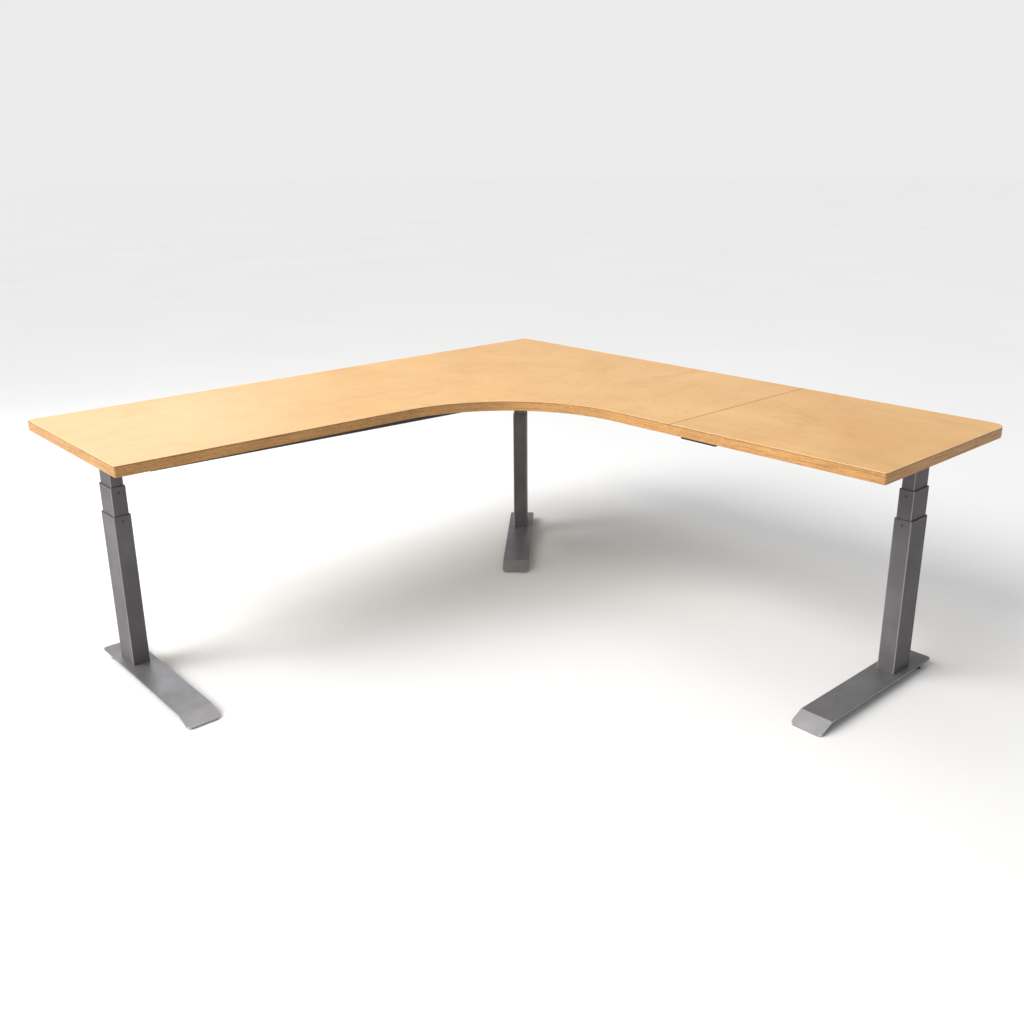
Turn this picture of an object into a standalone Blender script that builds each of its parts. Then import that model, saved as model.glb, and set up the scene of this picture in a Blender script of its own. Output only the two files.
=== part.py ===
"""Height adjustable L-shaped standing desk: a two-piece worktop on three motor-driven telescopic legs.

Metres, +Z up. The origin lies on the floor under the centre of the square that the L fills. The rear
corner of the top is at (-HALF, +HALF); the right wing runs from it along +X, the left wing along -Y.
Each leg is built in its own frame: its origin is on the floor under the column, +X points to its toe.
"""

import math

import bmesh
import bpy
from mathutils import Matrix, Vector

# Worktop
WING = 1.92  # length of each wing along its rear edge
HALF = WING / 2
LEFT_DEPTH = (0.630, 0.667)  # front to rear across the left wing, at its end and at the corner
RIGHT_DEPTH = (0.637, 0.654)
TOP_THICK = 0.029
TOP_Z = 0.664  # height of the work surface with the desk as stored
UNDER_Z = TOP_Z - TOP_THICK
SEAM_X = 1.288 - HALF  # joint between the main top and the extension
FILLET_R = 0.44  # inner corner where the user sits
MAIN_CORNER_R = 0.005
EXTENSION_CORNER_R = (0.005, 0.040)  # front, rear
BAND = 0.002  # thickness of the edge band
GAP = 0.0003  # between neighbouring pieces

# Modelling
OVERCUT = 0.01  # how far a cutter passes beyond what it cuts
LAP = 0.001  # overlap of two solids that become one
LEAST_R = 0.001
ARC_STEP = 0.03  # longest step along a large arc
WELD = 1e-6
SMOOTH_ANGLE = math.radians(40)
ROUTE_STEPS = 2  # steps of a smooth route between two of its own points

# Columns: each stage's size along the foot, size across it, and radius of its long edges
LOWER = (0.086, 0.049, 0.0040)
MIDDLE = (0.079, 0.042, 0.0036)
UPPER = (0.072, 0.035, 0.0032)
WALL = 0.0015
LOWER_Z = (0.0263, 0.4620)
MIDDLE_Z = (0.066, 0.5425)
UPPER_Z = (0.105, 0.600)
GUIDE_LONG = 0.040
GUIDE_SUNK = 0.001  # how far a guide lies below the rim of its tube
BASE_PLATE = 0.004  # closes the bottom of the lower tube

# Foot, a folded steel plate, measured from the column's axis
TOE = 0.425
HEEL = -0.127
FOOT_WIDE = 0.089
FOOT_TOP = 0.026
FOOT_THICK = 0.005
FOLD = 0.375  # where the plate turns down to the toe
TOE_Z = 0.005  # upper edge of the toe
TOE_CORNER_R = 0.014
HEEL_CORNER_R = 0.010
LEVELLER_PLACES = ((-0.090, -0.024), (-0.090, 0.024))
GLIDE_R = 0.010
GLIDE_HIGH = 0.008
GLIDE_CHAMFER = (0.002, 0.001)  # upper, lower
STEM_R = 0.004
STEM_TOP = 0.0235
INSERT_R = 0.008
INSERT_LOW = 0.012
STEM_ROOM = 0.0008  # between the stem's end and the bottom of its hole
BOLT_HOLE_R = 0.0034
BOLT_PLACES = [(x, y) for x in (-0.026, 0.026) for y in (-0.013, 0.013)]

# Drive inside each column
SCREW_R = 0.008
SCREW_Z = (0.118, 0.612)
SCREW_CHAMFER = 0.002
SCREW_ROOM = 0.001  # above the screw, in the gearbox
NUT_TUBE_R = (0.0103, 0.013)
NUT_TUBE_Z = (0.0670, 0.440)
NUT_LONG = 0.020
NUT_PLATE = 0.005
GEARBOX = (0.084, 0.046, 0.006)
GEARBOX_Z = (0.6003, 0.6314)
MOTOR_R = 0.0188
MOTOR_SPAN = (-0.0385, -0.135)
MOTOR_AXIS_Z = 0.6118

# Steelwork under the top
CHANNEL_WIDE = 0.060
CHANNEL_SHEET = 0.003
CHANNEL_TIP = 0.012  # cut off each corner
CHANNEL_SCREWS = (0.040, 0.025)  # from its back and front ends
FRAME_TOP = UNDER_Z - GAP
FRAME_LOW = FRAME_TOP - 0.020
RAIL_WIDE = 0.040
RAIL_WALL = 0.0015
REAR_RAIL_SETBACK = 0.140  # from the rear edge of the top to the near face of the rear rail
LEFT_RAIL_SETBACK = 0.040  # from the front of the left wing to the near face of its front rail
LEFT_RAIL_LEAN = 0.066  # how far that rail turns rearwards for each metre towards its leg
RIGHT_RAIL_SETBACK = 0.151  # the right one is further back, to leave room for the handset

# Each leg: place of its column, turn about Z, and reach of its head bracket behind and in front
LEGS = {
    "left": ((-0.587, -0.879), 0.0, (-0.255, 0.195)),
    "right": ((0.880, 0.633), -90.0, (-0.204, 0.206)),
    "corner": ((-0.660, 0.660), -45.0, (-0.255, 0.410)),
}

# Fastening of the top
SPLICE = (0.120, 0.040, 0.003)
SPLICE_CORNER_R = 0.005
SPLICE_SCREWS = (0.045, 0.010)
SPLICE_Y = (0.56, 0.72, 0.90)
SCREW_HOLE_R = 0.0022

# Control box, leads and handset
BOX = (0.240, 0.100, 0.008)
BOX_AT = (-0.020, 0.630)
BOX_LOW = 0.5985
EAR = (0.022, 0.024, 0.003)
INLET = (0.028, 0.020, 0.0225)
INLET_X = 0.030
INLET_PROUD = 0.001
INLET_WALL = (0.0018, 0.003)  # sides, back
LEAD_R = 0.0025
HANDSET_LEAD_R = 0.002
RUN_Z = 0.628  # height of a clipped lead
HANDSET_X = (0.342, 0.458)
HANDSET_Y = (0.347, 0.407)
HANDSET_LOW = 0.6197
BUTTON = (0.0115, 0.007)
BUTTON_Y = (0.3455, 0.3510)
BUTTON_X = {"up": 0.386, "down": 0.401, "memory_1": 0.418, "memory_2": 0.432, "memory_3": 0.446}
POCKET_DEEP = 0.006
WINDOW = (0.026, 0.009)
WINDOW_X = 0.3595
WINDOW_THICK = 0.0012

FINISHES = {  # colour, roughness, metallic
    "silver": ((0.36, 0.35, 0.35), 0.42, 0.6),
    "laminate": ((0.86, 0.66, 0.42), 0.45, 0.0),
    "edge": ((0.66, 0.42, 0.20), 0.5, 0.0),
    "black steel": ((0.02, 0.02, 0.022), 0.5, 0.3),
    "zinc": ((0.62, 0.62, 0.60), 0.35, 1.0),
    "bright steel": ((0.70, 0.70, 0.70), 0.25, 1.0),
    "black plastic": ((0.025, 0.025, 0.027), 0.55, 0.0),
    "glossy black": ((0.01, 0.01, 0.012), 0.12, 0.0),
    "cast alloy": ((0.45, 0.45, 0.46), 0.55, 0.8),
}


def clear_scene():
    for obj in list(bpy.data.objects):
        bpy.data.objects.remove(obj, do_unlink=True)


def new_collection(name):
    made = bpy.data.collections.new(name)
    bpy.context.scene.collection.children.link(made)
    return made


clear_scene()
PARTS = new_collection("standing_desk")
CUTTERS = new_collection("cutters")


# ---- tools ----------------------------------------------------------------------------------------


def new_object(name, mesh, parent=None):
    obj = bpy.data.objects.new(name, mesh)
    PARTS.objects.link(obj)
    obj.parent = parent
    return obj


def paint(obj, finish, smooth=False):
    """Give a piece its own material, and soft shading if it is round."""
    colour, roughness, metallic = FINISHES[finish]
    material = bpy.data.materials.new(obj.name)
    material.use_nodes = True
    shader = material.node_tree.nodes["Principled BSDF"]
    shader.inputs["Base Color"].default_value = (*colour, 1)
    shader.inputs["Roughness"].default_value = roughness
    shader.inputs["Metallic"].default_value = metallic
    material.diffuse_color = (*colour, 1)
    obj.data.materials.clear()
    obj.data.materials.append(material)
    if smooth:
        obj.data.shade_smooth()
        obj.data.set_sharp_from_angle(angle=SMOOTH_ANGLE)
    return obj


def evaluated_mesh(obj):
    """The mesh of a curve or of an object with modifiers, welded and facing out. The object goes."""
    bpy.context.view_layer.update()
    graph = bpy.context.evaluated_depsgraph_get()
    mesh = bpy.data.meshes.new_from_object(obj.evaluated_get(graph))
    mesh.transform(obj.matrix_world)
    work = bmesh.new()
    work.from_mesh(mesh)
    bmesh.ops.remove_doubles(work, verts=work.verts, dist=WELD)
    bmesh.ops.recalc_face_normals(work, faces=work.faces)
    work.to_mesh(mesh)
    work.free()
    mesh.name = obj.name
    bpy.data.objects.remove(obj, do_unlink=True)
    return mesh


def extruded_mesh(name, loops, low, high):
    """Outlines in X and Y, filled between outer and inner ones, from height low to height high."""
    curve = bpy.data.curves.new(name, "CURVE")
    curve.dimensions = "2D"
    curve.fill_mode = "BOTH"
    curve.extrude = (high - low) / 2
    for loop in loops:
        spline = curve.splines.new("POLY")
        spline.points.add(len(loop) - 1)
        for point, (x, y) in zip(spline.points, loop):
            point.co = (x, y, 0, 1)
        spline.use_cyclic_u = True
    obj = new_object(name, curve)
    obj.location.z = (low + high) / 2
    return evaluated_mesh(obj)


def extruded(name, loops, low, high, parent=None):
    return new_object(name, extruded_mesh(name, loops, low, high), parent)


def turned(name, profile, steps, parent):
    """A profile of (radius, height) from the axis at the top to the axis at the bottom, turned once."""
    mesh = bpy.data.meshes.new(name)
    mesh.from_pydata([(r, 0, z) for r, z in profile], [(i, i + 1) for i in range(len(profile) - 1)], [])
    obj = new_object(name, mesh)
    screw = obj.modifiers.new("turn", "SCREW")
    screw.steps = screw.render_steps = steps
    screw.use_merge_vertices = True
    screw.merge_threshold = WELD
    return new_object(name, evaluated_mesh(obj), parent)


def block(name, x, y, z, parent=None):
    """A box from three (low, high) pairs."""
    spans = (x, y, z)
    middle = Vector([(low + high) / 2 for low, high in spans])
    sizes = [high - low for low, high in spans]
    work = bmesh.new()
    bmesh.ops.create_cube(work, size=1, matrix=Matrix.Translation(middle) @ Matrix.Diagonal((*sizes, 1)))
    mesh = bpy.data.meshes.new(name)
    work.to_mesh(mesh)
    work.free()
    return new_object(name, mesh, parent)


def rod(name, radius, start, end, sides, parent=None):
    """A round bar between two points."""
    start, end = Vector(start), Vector(end)
    along = end - start
    turn = along.to_track_quat("Z", "Y").to_matrix().to_4x4()
    work = bmesh.new()
    bmesh.ops.create_cone(
        work,
        cap_ends=True,
        segments=sides,
        radius1=radius,
        radius2=radius,
        depth=along.length,
        matrix=Matrix.Translation((start + end) / 2) @ turn,
    )
    mesh = bpy.data.meshes.new(name)
    work.to_mesh(mesh)
    work.free()
    return new_object(name, mesh, parent)


def group(name, mesh, places, parent=None):
    """One object that holds a copy of a mesh at each of several matrices, as separate bodies."""
    work = bmesh.new()
    for place in places:
        copy = mesh.copy()
        copy.transform(place)
        work.from_mesh(copy)
        bpy.data.meshes.remove(copy)
    joined = bpy.data.meshes.new(name)
    work.to_mesh(joined)
    work.free()
    return new_object(name, joined, parent)


def boolean(obj, operation, *others):
    """Cut, join or intersect an object with helper objects, which move to the cutters' collection."""
    for other in others:
        change = obj.modifiers.new(operation.lower(), "BOOLEAN")
        change.operation = operation
        change.object = other
        if other.name not in CUTTERS.objects:
            PARTS.objects.unlink(other)
            CUTTERS.objects.link(other)
        other.hide_render = True
        other.display_type = "WIRE"
    return obj


def cut(obj, *cutters):
    return boolean(obj, "DIFFERENCE", *cutters)


def join(obj, *others):
    return boolean(obj, "UNION", *others)


def rounded(corners, steps=4):
    """An outline from (x, y, radius) corners, each corner replaced by an arc of its radius."""
    outline = []
    for i, (x, y, radius) in enumerate(corners):
        corner = Vector((x, y))
        if radius <= 0:
            outline.append((x, y))
            continue
        before = (Vector(corners[i - 1][:2]) - corner).normalized()
        after = (Vector(corners[(i + 1) % len(corners)][:2]) - corner).normalized()
        half = before.angle(after) / 2
        centre = corner + (before + after).normalized() * radius / math.sin(half)
        start = corner + before * radius / math.tan(half) - centre
        end = corner + after * radius / math.tan(half) - centre
        sweep = math.pi - 2 * half
        if start.x * end.y - start.y * end.x < 0:
            sweep = -sweep
        count = max(steps, round(abs(sweep) * radius / ARC_STEP))
        for k in range(count + 1):
            a = sweep * k / count
            turn = Matrix(((math.cos(a), -math.sin(a)), (math.sin(a), math.cos(a))))
            outline.append(tuple(centre + turn @ start))
    return outline


def rounded_rectangle(section, inset=0, steps=4):
    """The outline of a (length, width, corner radius) section, moved in on all sides by an inset."""
    x, y, r = section[0] / 2 - inset, section[1] / 2 - inset, max(section[2] - inset, LEAST_R)
    return rounded([(-x, -y, r), (x, -y, r), (x, y, r), (-x, y, r)], steps)


# ---- worktop --------------------------------------------------------------------------------------


def right_front(x):
    """How far forward, in y, the right wing's tapered front edge lies at x."""
    end, corner = RIGHT_DEPTH
    run = HALF - (LEFT_DEPTH[1] - HALF)
    return HALF - end - (corner - end) * (HALF - x) / run


def main_outline(inset):
    """The L-shaped main top, inset from its nominal edge, with the rounded inner corner."""
    low, high = -HALF + inset, HALF - inset
    seam = SEAM_X - GAP / 2 - inset
    r = max(MAIN_CORNER_R - inset, LEAST_R)
    return rounded(
        [
            (low, high, r),
            (low, low, r),
            (LEFT_DEPTH[0] - HALF - inset, low, r),
            (LEFT_DEPTH[1] - HALF - inset, HALF - RIGHT_DEPTH[1] + inset, FILLET_R + inset),
            (seam, right_front(seam) + inset, 0),
            (seam, high, 0),
        ]
    )


def extension_outline(inset):
    """The rectangular extension that ends the right wing."""
    seam, end = SEAM_X + GAP / 2 + inset, HALF - inset
    front_r, rear_r = (r - inset for r in EXTENSION_CORNER_R)
    return rounded(
        [
            (seam, right_front(seam) + inset, 0),
            (end, right_front(end) + inset, front_r),
            (end, end, rear_r),
            (seam, end, 0),
        ]
    )


def make_worktop():
    for part, outline in (("main", main_outline), ("extension", extension_outline)):
        board = extruded(f"worktop_{part}", [outline(BAND + GAP)], UNDER_Z, TOP_Z)
        paint(board, "laminate")
        band = extruded(f"edge_band_{part}", [outline(0), outline(BAND)], UNDER_Z, TOP_Z)
        paint(band, "edge")


# ---- one leg --------------------------------------------------------------------------------------


def leg_frame(name):
    (x, y), turn, _ = LEGS[name]
    frame = bpy.data.objects.new(f"{name}_leg", None)
    PARTS.objects.link(frame)
    frame.location = (x, y, 0)
    frame.rotation_euler.z = math.radians(turn)
    bpy.context.view_layer.update()
    return frame


def side_prism(name, profile, across, parent):
    """An (x, z) profile extruded across the leg's centre plane."""
    mesh = extruded_mesh(name, [profile], -across / 2, across / 2)
    mesh.transform(Matrix.Rotation(math.radians(90), 4, "X"))
    return new_object(name, mesh, parent)


def foot_plate(name, frame):
    """The folded plate, with its toe on the floor and its corners rounded."""
    slope = math.atan2(FOOT_TOP - TOE_Z, TOE - FOLD)
    under = FOOT_TOP - FOOT_THICK
    profile = [
        (HEEL, under),
        (FOLD - FOOT_THICK * math.tan(slope / 2), under),
        (TOE - FOOT_THICK * math.sin(slope), TOE_Z - FOOT_THICK * math.cos(slope)),
        (TOE, TOE_Z),
        (FOLD, FOOT_TOP),
        (HEEL, FOOT_TOP),
    ]
    y = FOOT_WIDE / 2
    plan = rounded(
        [
            (HEEL, -y, HEEL_CORNER_R),
            (TOE, -y, TOE_CORNER_R),
            (TOE, y, TOE_CORNER_R),
            (HEEL, y, HEEL_CORNER_R),
        ]
    )
    plate = side_prism(f"{name}_foot", profile, FOOT_WIDE + OVERCUT, frame)
    trim = extruded(f"{name}_foot_plan", [plan], 0, FOOT_TOP + OVERCUT, frame)
    return boolean(plate, "INTERSECT", trim)


def make_foot(name, frame):
    """The foot, with the welded inserts that the levellers screw into."""
    foot = foot_plate(name, frame)
    under = FOOT_TOP - FOOT_THICK
    for number, place in enumerate(LEVELLER_PLACES, 1):
        insert = rod(
            f"{name}_insert_{number}", INSERT_R, (*place, INSERT_LOW), (*place, under + LAP), 12, frame
        )
        thread = rod(
            f"{name}_thread_{number}", STEM_R + GAP, (*place, 0), (*place, STEM_TOP + STEM_ROOM), 12,
            frame,
        )
        join(foot, insert)
        cut(foot, thread)
    holes = bolt_holes(f"{name}_foot_bolt_holes", under - OVERCUT, FOOT_TOP + OVERCUT, frame)
    paint(cut(foot, holes), "silver")


def bolt_holes(name, low, high, frame):
    hole = rod("hole", BOLT_HOLE_R, (0, 0, low), (0, 0, high), 8)
    mesh = hole.data
    bpy.data.objects.remove(hole)
    return group(name, mesh, [Matrix.Translation((x, y, 0)) for x, y in BOLT_PLACES], frame)


def make_leveller(name, number, frame):
    upper, lower = GLIDE_CHAMFER
    profile = [
        (0, STEM_TOP),
        (STEM_R, STEM_TOP),
        (STEM_R, GLIDE_HIGH),
        (GLIDE_R - upper, GLIDE_HIGH),
        (GLIDE_R, GLIDE_HIGH - upper),
        (GLIDE_R, lower),
        (GLIDE_R - lower, 0),
        (0, 0),
    ]
    leveller = turned(f"{name}_leveller_{number}", profile, 16, frame)
    leveller.location.xy = LEVELLER_PLACES[number - 1]
    paint(leveller, "black plastic", smooth=True)


def tube(name, section, span, frame):
    """One stage of the column, open at both ends."""
    return extruded(name, [rounded_rectangle(section), rounded_rectangle(section, WALL)], *span, frame)


def make_guide(name, outside, inside, rim, frame):
    """The plastic sleeve in the mouth of a tube, which the next stage slides in."""
    outer = rounded_rectangle(outside, WALL + GAP)
    inner = rounded_rectangle(inside, -GAP)
    top = rim - GUIDE_SUNK
    paint(extruded(name, [outer, inner], top - GUIDE_LONG, top, frame), "black plastic")


def make_columns(name, frame):
    lower = tube(f"{name}_lower_tube", LOWER, LOWER_Z, frame)
    floor = LOWER_Z[0] + BASE_PLATE
    plate = extruded(f"{name}_base_plate", [rounded_rectangle(LOWER, WALL / 2)], LOWER_Z[0], floor, frame)
    holes = bolt_holes(f"{name}_base_bolt_holes", LOWER_Z[0] - OVERCUT, floor + OVERCUT, frame)
    paint(cut(join(lower, plate), holes), "silver", smooth=True)
    paint(tube(f"{name}_middle_tube", MIDDLE, MIDDLE_Z, frame), "silver", smooth=True)
    paint(tube(f"{name}_upper_tube", UPPER, UPPER_Z, frame), "silver", smooth=True)
    make_guide(f"{name}_lower_guide", LOWER, MIDDLE, LOWER_Z[1], frame)
    make_guide(f"{name}_middle_guide", MIDDLE, UPPER, MIDDLE_Z[1], frame)


def make_drive(name, frame):
    """The lead screw under the gearbox, and the nut tube that stands on the middle stage."""
    low, high = SCREW_Z
    tip = SCREW_CHAMFER
    profile = [(0, high), (SCREW_R, high), (SCREW_R, low + tip), (SCREW_R - tip, low), (0, low)]
    paint(turned(f"{name}_lead_screw", profile, 16, frame), "bright steel", smooth=True)

    bore, radius = NUT_TUBE_R
    base, top = NUT_TUBE_Z
    nut_tube = rod(f"{name}_nut_tube", radius, (0, 0, base), (0, 0, top), 16, frame)
    foot_plate = extruded(
        f"{name}_nut_plate", [rounded_rectangle(MIDDLE, WALL + GAP)], base, base + NUT_PLATE, frame
    )
    inside = rod(
        f"{name}_nut_tube_inside", bore, (0, 0, base - OVERCUT), (0, 0, top - NUT_LONG), 16, frame
    )
    thread = rod(
        f"{name}_nut_thread", SCREW_R + GAP, (0, 0, base), (0, 0, top + OVERCUT), 16, frame
    )
    paint(cut(join(nut_tube, foot_plate), inside, thread), "zinc", smooth=True)

    gearbox = extruded(f"{name}_gear_motor", [rounded_rectangle(GEARBOX)], *GEARBOX_Z, frame)
    ends = [(x, 0, MOTOR_AXIS_Z) for x in MOTOR_SPAN]
    motor = rod(f"{name}_motor", MOTOR_R, *ends, 24, frame)
    socket = rod(
        f"{name}_screw_socket", SCREW_R + GAP, (0, 0, GEARBOX_Z[0] - OVERCUT), (0, 0, high + SCREW_ROOM),
        16, frame,
    )
    paint(cut(join(gearbox, motor), socket), "cast alloy", smooth=True)


def make_head_bracket(name, frame, holes):
    """The steel channel that ties the column's head to the underside of the top."""
    back, front = LEGS[name][2]
    y, tip = CHANNEL_WIDE / 2, CHANNEL_TIP
    outline = [
        (back, -y + tip), (back + tip, -y), (front - tip, -y), (front, -y + tip),
        (front, y - tip), (front - tip, y), (back + tip, y), (back, y - tip),
    ]
    channel = extruded(f"{name}_head_bracket", [outline], FRAME_LOW, FRAME_TOP, frame)
    inner_y = y - CHANNEL_SHEET
    hollow = block(
        f"{name}_bracket_hollow", (back - OVERCUT, front + OVERCUT), (-inner_y, inner_y),
        (FRAME_LOW - OVERCUT, FRAME_TOP - CHANNEL_SHEET), frame,
    )
    paint(cut(channel, hollow, holes), "black steel")


def make_leg(name, frame, holes):
    make_foot(name, frame)
    for number in (1, 2):
        make_leveller(name, number, frame)
    make_columns(name, frame)
    make_drive(name, frame)
    make_head_bracket(name, frame, holes)


# ---- frame under the top --------------------------------------------------------------------------


def make_rail(name, along, inner, lean=0.0):
    """A steel tube from an end leg's head bracket to the corner leg's, cut at 45 degrees there.

    Built as the right wing's rail along +X, with its near face at y = inner where x = 0; the left
    wing's is its mirror image across the diagonal. Lean is how far it turns rearwards for each metre.
    """
    outer = inner + RAIL_WIDE
    # the corner bracket's side lies on x + y = mitre
    mitre = CHANNEL_WIDE / 2 * math.sqrt(2) + GAP
    end_leg = LEGS["right"][0][0] if along == "x" else -LEGS["left"][0][1]
    end = end_leg - CHANNEL_WIDE / 2 - GAP

    def plan(near, far, start, end):
        corners = [((start - near) / (1 + lean), near), (end, near), (end, far)]
        corners.append(((start - far) / (1 + lean), far))
        corners = [(x, y + lean * x) for x, y in corners]
        return corners if along == "x" else [(-y, -x) for x, y in corners]

    rail = extruded(name, [plan(inner, outer, mitre, end)], FRAME_LOW, FRAME_TOP)
    hollow = plan(inner + RAIL_WALL, outer - RAIL_WALL, mitre - OVERCUT, end + OVERCUT)
    inside = extruded(f"{name}_inside", [hollow], FRAME_LOW + RAIL_WALL, FRAME_TOP - RAIL_WALL)
    paint(cut(rail, inside), "black steel")


def make_rails():
    rear = HALF - REAR_RAIL_SETBACK - RAIL_WIDE
    left_front, right_front = HALF - LEFT_DEPTH[1], HALF - RIGHT_DEPTH[1]
    make_rail("left_front_rail", "y", left_front + LEFT_RAIL_SETBACK, LEFT_RAIL_LEAN)
    make_rail("left_rear_rail", "y", rear)
    make_rail("right_front_rail", "x", right_front + RIGHT_RAIL_SETBACK)
    make_rail("right_rear_rail", "x", rear)


def screw_places(frames):
    """Where the wood screws go up into the top, as (x, y)."""
    dx, dy = SPLICE_SCREWS
    places = [(x, y + side * dy) for y in SPLICE_Y for x in (SEAM_X - dx, SEAM_X + dx) for side in (-1, 1)]
    for name, frame in frames.items():
        back, front = LEGS[name][2]
        for x in (back + CHANNEL_SCREWS[0], front - CHANNEL_SCREWS[1]):
            places.append(tuple((frame.matrix_world @ Vector((x, 0, 0)))[:2]))
    for side in (-1, 1):
        places.append((BOX_AT[0] + side * (BOX[0] + EAR[0]) / 2, BOX_AT[1]))
    return places


def make_screw_holes(places):
    low, high = FRAME_TOP - OVERCUT, FRAME_TOP + OVERCUT
    hole = rod("screw_hole", SCREW_HOLE_R, (0, 0, low), (0, 0, high), 8)
    mesh = hole.data
    bpy.data.objects.remove(hole)
    return group("screw_holes", mesh, [Matrix.Translation((x, y, 0)) for x, y in places])


def make_splice_plates(holes):
    """Three steel plates that bridge the joint between the two pieces of the top."""
    long, wide, thick = SPLICE
    for number, y in enumerate(SPLICE_Y, 1):
        plate = extruded(
            f"splice_plate_{number}", [rounded_rectangle((long, wide, SPLICE_CORNER_R), steps=2)],
            FRAME_TOP - thick, FRAME_TOP,
        )
        plate.data.transform(Matrix.Translation((SEAM_X, y, 0)))
        paint(cut(plate, holes), "zinc")


# ---- electrics ------------------------------------------------------------------------------------


def make_control_box(holes):
    (x, y), (long, wide, _) = BOX_AT, BOX
    case = extruded("control_box", [rounded_rectangle(BOX)], BOX_LOW, FRAME_TOP)
    case.data.transform(Matrix.Translation((x, y, 0)))
    reach, half_ear = long / 2 + EAR[0], EAR[1] / 2
    ears = block(
        "control_box_ears", (x - reach, x + reach), (y - half_ear, y + half_ear),
        (FRAME_TOP - EAR[2], FRAME_TOP),
    )
    pocket = inlet_block("inlet_pocket", GAP, INLET[2] - INLET_PROUD + GAP, OVERCUT)
    paint(cut(join(case, ears), pocket, holes), "black plastic")
    side, back = INLET_WALL
    inlet = inlet_block("mains_inlet", 0, INLET[2] - INLET_PROUD, INLET_PROUD)
    socket = inlet_block("inlet_socket", -side, INLET[2] - INLET_PROUD - back, OVERCUT)
    paint(cut(inlet, socket), "black plastic")


def inlet_block(name, grown, deep, proud):
    """A box about the mains inlet's axis, sunk into the control box's rear face and proud of it."""
    face = BOX_AT[1] + BOX[1] / 2
    middle = (BOX_LOW + FRAME_TOP) / 2
    wide, high = INLET[0] / 2 + grown, INLET[1] / 2 + grown
    return block(
        name, (INLET_X - wide, INLET_X + wide), (face - deep, face + proud), (middle - high, middle + high)
    )


def smooth_route(points):
    """Points along a smooth curve through a lead's own points."""
    points = [Vector(p) for p in points]
    ends = [2 * points[0] - points[1], *points, 2 * points[-1] - points[-2]]
    route = [points[0]]
    for a, b, c, d in zip(ends, ends[1:], ends[2:], ends[3:]):
        for k in range(1, ROUTE_STEPS + 1):
            t = k / ROUTE_STEPS
            route.append(
                0.5
                * (
                    2 * b
                    + (c - a) * t
                    + (2 * a - 5 * b + 4 * c - d) * t**2
                    + (3 * b - 3 * c + d - a) * t**3
                )
            )
    return route


def lead_mesh(name, points, radius):
    curve = bpy.data.curves.new(name, "CURVE")
    curve.dimensions = "3D"
    curve.bevel_depth = radius
    curve.bevel_resolution = 2
    curve.use_fill_caps = True
    route = smooth_route(points)
    spline = curve.splines.new("POLY")
    spline.points.add(len(route) - 1)
    for point, place in zip(spline.points, route):
        point.co = (*place, 1)
    return evaluated_mesh(new_object(name, curve))


# Each lead leaves the control box, runs clipped under the top, dips under the steelwork where it has
# to cross it, and ends at its motor or at the handset.
CROSS_Z = 0.6085
LEFT_LEAD = [
    (-0.1403, 0.605, 0.612), (-0.165, 0.605, 0.613), (-0.200, 0.602, 0.626), (-0.240, 0.600, RUN_Z),
    (-0.360, 0.600, RUN_Z), (-0.470, 0.600, RUN_Z), (-0.510, 0.603, 0.620), (-0.545, 0.598, CROSS_Z),
    (-0.575, 0.575, 0.6075), (-0.598, 0.545, CROSS_Z), (-0.603, 0.510, 0.620), (-0.600, 0.470, RUN_Z),
    (-0.600, 0.300, RUN_Z), (-0.600, 0.100, RUN_Z), (-0.600, -0.100, RUN_Z), (-0.600, -0.300, RUN_Z),
    (-0.600, -0.500, RUN_Z), (-0.600, -0.680, RUN_Z), (-0.635, -0.750, 0.626), (-0.690, -0.800, 0.616),
    (-0.735, -0.827, CROSS_Z), (-0.758, -0.852, 0.607), (-0.754, -0.876, 0.609),
    (-0.7420, -0.879, 0.6114), (-0.7320, -0.879, 0.6118), (-0.7223, -0.879, 0.6118),
]
CORNER_LEAD = [
    (-0.1403, 0.665, 0.612), (-0.165, 0.665, 0.613), (-0.200, 0.680, 0.624), (-0.240, 0.698, RUN_Z),
    (-0.280, 0.700, RUN_Z), (-0.420, 0.700, RUN_Z), (-0.560, 0.700, RUN_Z), (-0.620, 0.712, 0.626),
    (-0.675, 0.745, 0.617), (-0.715, 0.778, CROSS_Z), (-0.750, 0.800, 0.607), (-0.775, 0.789, 0.608),
    (-0.7692, 0.7692, 0.6112), (-0.7621, 0.7621, 0.6118), (-0.75567, 0.75567, 0.6118),
]
RIGHT_LEAD = [
    (0.1003, 0.655, 0.612), (0.125, 0.655, 0.613), (0.160, 0.648, 0.625), (0.200, 0.641, RUN_Z),
    (0.240, 0.640, RUN_Z), (0.340, 0.640, RUN_Z), (0.500, 0.640, RUN_Z), (0.660, 0.640, RUN_Z),
    (0.735, 0.655, RUN_Z), (0.779, 0.699, 0.622), (0.808, 0.748, 0.611), (0.833, 0.782, 0.607),
    (0.857, 0.803, 0.607), (0.877, 0.800, 0.609),
    (0.880, 0.7880, 0.6114), (0.880, 0.7780, 0.6118), (0.880, 0.7683, 0.6118),
]
HANDSET_LEAD = [
    (0.1003, 0.605, 0.612), (0.125, 0.605, 0.613), (0.160, 0.608, 0.625), (0.200, 0.610, RUN_Z),
    (0.240, 0.610, RUN_Z), (0.340, 0.610, RUN_Z), (0.380, 0.598, RUN_Z), (0.400, 0.565, 0.6265),
    (0.400, 0.530, 0.618), (0.400, 0.495, 0.609), (0.400, 0.462, 0.607), (0.400, 0.438, 0.6100),
    (0.400, 0.4240, 0.6190), (0.400, 0.4150, 0.6222), (0.400, 0.4073, 0.6225),
]


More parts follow.
